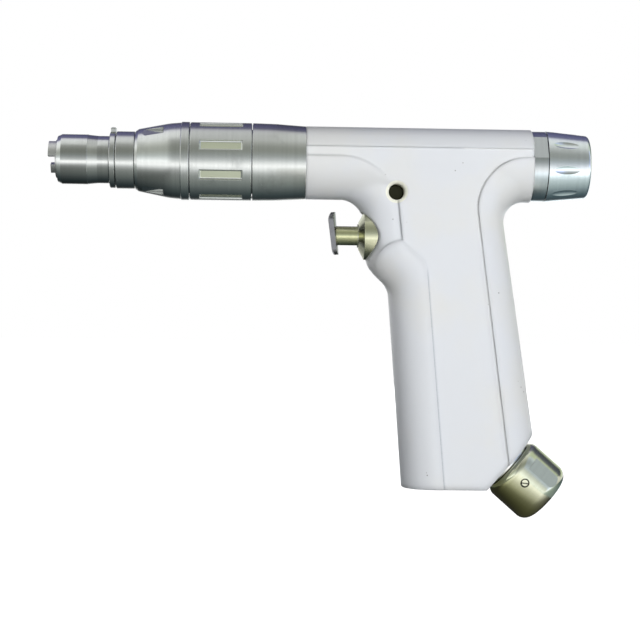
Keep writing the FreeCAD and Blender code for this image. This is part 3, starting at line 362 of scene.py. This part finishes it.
def angleRound(f):
    # degrees round the spindle axis
    turn = f.node("ShaderNodeMath", {"operation": "ARCTAN2"}, {0: f.axis("Z"), 1: 0 - f.axis("Y")})
    return turn * math.degrees(1)


def makeSkyCard():
    # half a large tube round the spindle axis, over the object
    first, last = studio["skyCard"][0][0], studio["skyCard"][-1][0]
    points = []
    for step in range(studio["skySteps"] + 1):
        angle = math.radians(first + (last - first) * step / studio["skySteps"])
        y = -studio["skyRadius"] * math.cos(angle)
        z = studio["skyRadius"] * math.sin(angle)
        points += [(x, y, z) for x in studio["skySpan"]]
    faces = [(2 * step, 2 * step + 1, 2 * step + 3, 2 * step + 2) for step in range(studio["skySteps"])]
    material = cardMaterial("skyCard", angleRound, "skyFrontShare", "skyBackShare")
    onlyMirrored(stageMesh("skyCard", points, faces, material))


def level(xs, ys, rise):
    # corners of a level rectangle, some way up in the gap over the floor
    z = cadBox[0][2] - studio["floorGap"] * (1 - rise)
    return [(x, y, z) for x, y in ((xs[0], ys[0]), (xs[1], ys[0]), (xs[1], ys[1]), (xs[0], ys[1]))]


def makeFloorCard(name, span, rise, backShare):
    across = (studio[name][0][0], studio[name][-1][0])
    material = cardMaterial(name, acrossFloor, "plainShare", backShare)
    onlyMirrored(stageMesh(name, level(span, across, rise), [(0, 1, 2, 3)], material))


def seenDirectly(tree):
    # 1 for a ray of the camera, of a mirror or of glass
    path = tree.nodes.new("ShaderNodeLightPath")
    seen = path.outputs["Is Camera Ray"]
    for other in ("Is Glossy Ray", "Is Transmission Ray"):
        either = tree.nodes.new("ShaderNodeMath")
        either.operation = "MAXIMUM"
        tree.links.new(seen, either.inputs[0])
        tree.links.new(path.outputs[other], either.inputs[1])
        seen = either.outputs[0]
    return seen


def makeWorld():
    # plain white where it is seen directly, light on the object is the plain level
    world = bpy.data.worlds.new("studio")
    world.use_nodes = True
    tree = world.node_tree
    plain = tree.nodes["Background"]
    plain.inputs["Color"].default_value = (1, 1, 1, 1)
    plain.inputs["Strength"].default_value = studio["world"]
    white = tree.nodes.new("ShaderNodeBackground")
    white.inputs["Color"].default_value = (1, 1, 1, 1)
    white.inputs["Strength"].default_value = 1.0
    mix = tree.nodes.new("ShaderNodeMixShader")
    tree.links.new(seenDirectly(tree), mix.inputs[0])
    tree.links.new(plain.outputs[0], mix.inputs[1])
    tree.links.new(white.outputs[0], mix.inputs[2])
    tree.links.new(mix.outputs[0], tree.nodes["World Output"].inputs[0])
    bpy.context.scene.world = world


def makeFloor():
    material = bpy.data.materials.new("paleFloor")
    material.use_nodes = True
    tree = material.node_tree
    shader = tree.nodes["Principled BSDF"]
    shader.inputs["Base Color"].default_value = (*studio["floorColour"], 1)
    shader.inputs["Roughness"].default_value = studio["floorRough"]
    shader.inputs["Specular IOR Level"].default_value = 0.0
    glow = tree.nodes.new("ShaderNodeEmission")
    strength = tree.nodes.new("ShaderNodeMath")
    strength.operation = "MULTIPLY"
    strength.inputs[1].default_value = studio["floorGlow"]
    both = tree.nodes.new("ShaderNodeAddShader")
    tree.links.new(seenDirectly(tree), strength.inputs[0])
    tree.links.new(strength.outputs[0], glow.inputs["Strength"])
    tree.links.new(shader.outputs[0], both.inputs[0])
    tree.links.new(glow.outputs[0], both.inputs[1])
    tree.links.new(both.outputs[0], tree.nodes["Material Output"].inputs[0])
    sides = (-studio["floorReach"], studio["floorReach"])
    stageMesh("floor", level(sides, sides, 0), [(0, 1, 2, 3)], material)


bpy.context.scene.view_settings.view_transform = "Standard"
makeWorld()
makeFloor()
makeSkyCard()
makeFloorCard("groundCard", studio["groundSpan"], studio["groundRise"], "groundBackShare")
makeFloorCard("heelCard", studio["heelSpan"], studio["heelRise"], "plainShare")
for lampName in ("front", "back"):
    softLamp(lampName, studio[lampName])
print("studio lit")

# white coating of the housing, in metres, x from the nose backwards and z from the spindle axis up
coating = {
    "colour": (0.745, 0.770, 0.805),
    "warm": (0.770, 0.770, 0.735),      # colour of its broad, faint clouds
    "warmShare": 0.55,
    "cloudScale": 28.0,
    "cloudEdge": (0.42, 0.68),          # grain at which a cloud starts and is full
    "rough": 0.34,
    "coat": 0.15,
    "coatRough": 0.25,
    "specular": 0.45,
    "smearScale": 95.0,
    "smearShare": 0.10,
    "peelScale": 420.0,
    "peel": (0.10, 0.00012),            # strength and height
    # the inside corners are painted: painted shade in them, strongest at the front border of the side panel
    "creaseReach": 0.0016,
    "paintedCreaseShare": 0.10,
    "paintedCreaseShade": (0.36, 0.39, 0.43),         # painted shade in the inside corner at the front border of the side panel
    "paintedBorderShare": 0.78,
    "paintedShadeX": (0.1575, 0.1595, 0.170, 0.174),
    "paintedShadeUnderZ": (-0.050, -0.045),
    "paintedLightCrease": (0.96, 0.97, 0.98),        # painted light in the inside corner at its rear border, lighter than the step's own shadow there
    "paintedLightX": (0.172, 0.178),
    "rim": (0.92, 0.92, 0.80),          # bare ring round the cross hole
    "rimPlace": (0.1475, 0.0, -0.0130),
    "rimRadius": (0.00475, 0.00485),
    "chip": (0.20, 0.20, 0.19),
    "chipShare": 0.75,
    "chipScale": 260.0,
    "chipRadius": (0.05, 0.11),
    "chipPatchScale": 60.0,
    "chipPatch": (0.62, 0.67),
    "chipDepth": (0.5, 0.00010),
    "edgeRadius": 0.0020,
    # under the barrel, where it runs into the cheeks, and on the handle the form is rounder than elsewhere
    "roundRadius": 0.0050,
    "throatX": (0.108, 0.114, 0.139, 0.1435),
    "throatZ": (-0.024, -0.017, -0.004, -0.001),
    "handleUnderZ": (-0.040, -0.030),
}


def whiteCoating():
    f = Finish("whiteCoating")
    x = f.axis("X")
    z = f.axis("Z")
    clouds = f.grain(coating["cloudScale"], 3, 0.55).step(*coating["cloudEdge"])
    tint = f.blend(clouds * coating["warmShare"], coating["colour"], coating["warm"])
    # painted shade darkens the inside corners, strongly at the front border of the side panel
    paintedShadeBorder = x.between(*coating["paintedShadeX"]) * (1 - z.step(*coating["paintedShadeUnderZ"]))
    # painted light: the inside corner at the rear border of the side panel is lightened
    paintedLightCrease = x.step(*coating["paintedLightX"])
    share = (paintedShadeBorder + paintedLightCrease) * coating["paintedBorderShare"] + coating["paintedCreaseShare"]
    tint = f.blend(f.creases(coating["creaseReach"]) * share, tint,
                   f.blend(paintedLightCrease, coating["paintedCreaseShade"], coating["paintedLightCrease"]))
    rim = 1 - f.apart(coating["rimPlace"], across=0).step(*coating["rimRadius"])
    tint = f.blend(rim, tint, coating["rim"])
    patches = f.grain(coating["chipPatchScale"]).step(*coating["chipPatch"])
    chips = (1 - f.cells(coating["chipScale"]).step(*coating["chipRadius"])) * patches
    colour = f.blend(chips * coating["chipShare"], tint, coating["chip"])
    smear = f.grain(coating["smearScale"], 4, 0.6) - 0.5
    throat = x.between(*coating["throatX"]) * z.between(*coating["throatZ"])
    rounder = throat.calc("MAXIMUM", 1 - z.step(*coating["handleUnderZ"]))
    soft = f.blend(rounder, f.soft(coating["edgeRadius"]), f.soft(coating["roundRadius"]))
    normal = f.bump(f.grain(coating["peelScale"]), *coating["peel"], soft)
    normal = f.bump(1 - chips, *coating["chipDepth"], normal)
    return f.finish(colour=colour, rough=coating["rough"] + smear * coating["smearShare"], normal=normal,
                    coat=coating["coat"], coatRough=coating["coatRough"], specular=coating["specular"])


# turned steel, with rings round an axis and painted shade in its inside corners
steel = {
    "colour": (0.60, 0.61, 0.595),
    "dark": (0.33, 0.335, 0.33),
    "rough": 0.15,
    "ringScale": 5200.0,
    "bandScale": 700.0,
    "bandMix": 0.35,                    # share of the wide bands among the fine rings
    "ringEdge": (0.30, 0.72),           # grain at which a ring starts and is full
    "ringShare": 0.22,
    "ringRough": 0.08,
    "smudgeScale": 70.0,
    "smudgeEdge": (0.56, 0.74),
    "smudgeRough": 0.25,
    "scratchScale": 900.0,
    "relief": 0.00002,
    "ringRelief": 0.10,
    "scratchRelief": 0.05,
    "edgeRadius": 0.0002,
    "edgeBright": 1.35,
    "edgeShare": 0.5,
    # painted shade: inside corners darkened to this share of the colour
    "creaseReach": 0.0007,
    "paintedCreaseDark": 0.25,
    "paintedCreaseShare": 0.6,
}

# bead-blasted floors of the speed collar's pockets, found by place, distance from the axis and slope
pocket = {
    "colour": (0.66, 0.68, 0.53),
    "rougher": 0.30,
    "x": (0.0612, 0.0614, 0.0810, 0.0812),
    "radius": (0.01680, 0.01690),
    "upright": (0.955, 0.975),
}

# the connector on the slanted heel turns round an axis of its own, and its lower side is painted darker and
# olive, a painted shade and reflection
connector = {
    "axis": (0.7547, 0, -0.6561),
    "paintedShadeSide": (-0.6561, 0, -0.7547),
    "paintedShadeFrom": (-0.0315, -0.0195),
    "paintedSideShade": (0.50, 0.51, 0.24),
}

# the screw that clamps the connector, seen as a disc with a dark joint round it and painted shade in its slot
screw = {
    "colour": (0.66, 0.67, 0.55),
    "joint": (0.04, 0.04, 0.03),
    "innerRadius": (0.00130, 0.00150),
    "outerRadius": (0.00185, 0.00205),
    "slotReach": 0.0006,
    "rough": 0.2,
    "grainRough": 0.1,
}
screwLow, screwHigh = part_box("connector_screw")
screwHead = ((screwLow[0] + screwHigh[0]) / 2, screwLow[1], (screwLow[2] + screwHigh[2]) / 2)


def turnedSteel(name, colour, dark, rough, depth=1.0, wear=0.3, pockets=False, axis=(1, 0, 0), sideShadePainted=False):
    # depth is the share of the full relief, wear the share of grime
    f = Finish(name)
    along = f.toward(axis)
    lines = f.rings(along, steel["ringScale"], 3.0)
    bands = f.rings(along, steel["bandScale"], 2.0)
    grime = f.grain(steel["smudgeScale"], 4, 0.6).step(*steel["smudgeEdge"]) * wear
    turned = (lines * (1 - steel["bandMix"]) + bands * steel["bandMix"]).step(*steel["ringEdge"])
    shade = f.blend(turned * steel["ringShare"] + grime, colour, dark)
    soft = f.soft(steel["edgeRadius"])
    bright = tuple(min(1.0, part * steel["edgeBright"]) for part in colour)
    shade = f.blend(f.edges(soft) * steel["edgeShare"], shade, bright)
    # painted shade in the inside corners
    shade = f.blend(f.creases(steel["creaseReach"]) * steel["paintedCreaseShare"], shade,
                    tuple(part * steel["paintedCreaseDark"] for part in colour))
    # painted shade and reflection: the connector's lower side darker and olive
    if sideShadePainted:
        side = f.toward(connector["paintedShadeSide"]).step(*connector["paintedShadeFrom"])
        shade = f.blend(side, shade, connector["paintedSideShade"])
        shade = f.blend(1 - f.apart(screwHead).step(*screw["outerRadius"]), shade, screw["joint"])
    glaze = rough + lines * steel["ringRough"] + grime * steel["smudgeRough"]
    if pockets:
        outward = f.stretch(0, 1, 1)
        floor = along.between(*pocket["x"]) * f.facing(outward).step(*pocket["upright"])
        floor = floor * (1 - f.length(outward).step(*pocket["radius"]))
        shade = f.blend(floor, shade, pocket["colour"])
        glaze = glaze + floor * pocket["rougher"]
    scratches = f.grain(steel["scratchScale"], where=f.stretch(0.12, 1, 1))
    normal = f.bump(lines, steel["ringRelief"] * depth, steel["relief"], soft)
    normal = f.bump(scratches, steel["scratchRelief"] * depth, steel["relief"], normal)
    return f.finish(colour=shade, metal=1.0, rough=glaze, normal=normal)


def screwSteel():
    f = Finish("screwSteel")
    # painted shade in the slot, in the dark joint's colour
    shade = f.blend(f.creases(screw["slotReach"]), screw["colour"], screw["joint"])
    shade = f.blend(f.apart(screwHead).step(*screw["innerRadius"]), shade, screw["joint"])
    return f.finish(colour=shade, metal=1.0, normal=f.soft(steel["edgeRadius"]),
                    rough=screw["rough"] + f.grain(steel["scratchScale"]) * screw["grainRough"])


# metal without turning marks
plain = {
    "grainScale": 300.0,
    "grainEdge": (0.35, 0.75),
    "dark": 0.6,
    "darkShare": 0.35,
    "grainRough": 0.1,
    "relief": (0.1, 0.00002),           # strength and height
}


def plainMetal(name, colour, rough, scale=plain["grainScale"]):
    f = Finish(name)
    grain = f.grain(scale, 3)
    dark = tuple(part * plain["dark"] for part in colour)
    shade = f.blend(grain.step(*plain["grainEdge"]) * plain["darkShare"], colour, dark)
    return f.finish(colour=shade, metal=1.0, rough=rough + grain * plain["grainRough"],
                    normal=f.bump(grain, *plain["relief"]))


# rubber and moulded plastics
mould = {
    "grainScale": 500.0,
    "grainEdge": (0.4, 0.7),
    "light": 1.5,
    "lightShare": 0.4,
    "grainRough": 0.1,
    "relief": (0.15, 0.00004),
}


def moulded(name, colour, rough):
    f = Finish(name)
    grain = f.grain(mould["grainScale"])
    light = tuple(part * mould["light"] + 0.01 for part in colour)
    shade = f.blend(grain.step(*mould["grainEdge"]) * mould["lightShare"], colour, light)
    return f.finish(colour=shade, rough=rough + grain * mould["grainRough"],
                    normal=f.bump(grain, *mould["relief"]))


# every material slot's look, and the looks that single nodes have of their own
finishes = {
    "coated_metal": whiteCoating(),
    "satin_steel": turnedSteel("satinSteel", steel["colour"], steel["dark"], steel["rough"]),
    "blackened_steel": plainMetal("blackenedSteel", (0.035, 0.035, 0.022), 0.35),
    "spindle_steel": plainMetal("spindleSteel", (0.55, 0.55, 0.54), 0.3),
    "nickel_steel": turnedSteel("nickelSteel", (0.61, 0.61, 0.38), (0.33, 0.33, 0.17), 0.17, 0.7, 0.2),
    "polished_steel": plainMetal("polishedSteel", (0.72, 0.72, 0.73), 0.12, 150.0),
    "bearing_steel": plainMetal("bearingSteel", (0.42, 0.42, 0.42), 0.25),
    "gear_steel": plainMetal("gearSteel", (0.50, 0.50, 0.49), 0.3),
    "spring_steel": plainMetal("springSteel", (0.45, 0.45, 0.45), 0.3),
    "core_aluminium": plainMetal("coreAluminium", (0.70, 0.70, 0.71), 0.35),
    "laminated_iron": plainMetal("laminatedIron", (0.28, 0.28, 0.29), 0.5, 2000.0),
    "magnet": plainMetal("magnetPlate", (0.25, 0.25, 0.27), 0.3),
    "copper": plainMetal("copperWire", (0.72, 0.38, 0.22), 0.3, 900.0),
    "dark_inlay": moulded("darkInlay", (0.012, 0.012, 0.014), 0.3),
    "rubber": moulded("blackRubber", (0.015, 0.015, 0.015), 0.55),
    "insulator": moulded("darkInsulator", (0.02, 0.02, 0.022), 0.5),
    "contact_brass": plainMetal("contactBrass", (0.80, 0.62, 0.30), 0.2),
}
ownFinishes = {
    "speed_collar": turnedSteel("pocketedSteel", steel["colour"], steel["dark"], steel["rough"],
                                pockets=True),
    "nose_sleeve": turnedSteel("noseSteel", steel["colour"], steel["dark"], 0.09),
    "rear_ring": turnedSteel("ringSteel", (0.50, 0.52, 0.53), (0.28, 0.29, 0.30), steel["rough"]),
    "rear_cap": turnedSteel("capSteel", (0.68, 0.71, 0.72), (0.38, 0.40, 0.41), 0.13),
    "connector_barrel": turnedSteel("connectorSteel", (0.62, 0.63, 0.50), (0.34, 0.35, 0.25), 0.14, 0.5, 0.2,
                                    axis=connector["axis"], sideShadePainted=True),
    "connector_screw": screwSteel(),
    "trigger_plate": plainMetal("plateSteel", (0.21, 0.21, 0.225), 0.22),
    "trigger_bushing": turnedSteel("bushingSteel", (0.62, 0.62, 0.45), (0.34, 0.34, 0.22), 0.15, 0.7, 0.2),
}
slotOf = {part["node"]: part["material_slot"] for part in frame["record"]["subparts"]}
sharpAngle = 24                         # degrees between faces from which an edge stays sharp


def dressNodes():
    for name, node in nodes.items():
        node.data.materials.clear()
        node.data.materials.append(ownFinishes.get(name, finishes[slotOf[name]]))
        node.data.shade_smooth()
        node.data.set_sharp_from_angle(angle=math.radians(sharpAngle))


dressNodes()
print("nodes dressed")
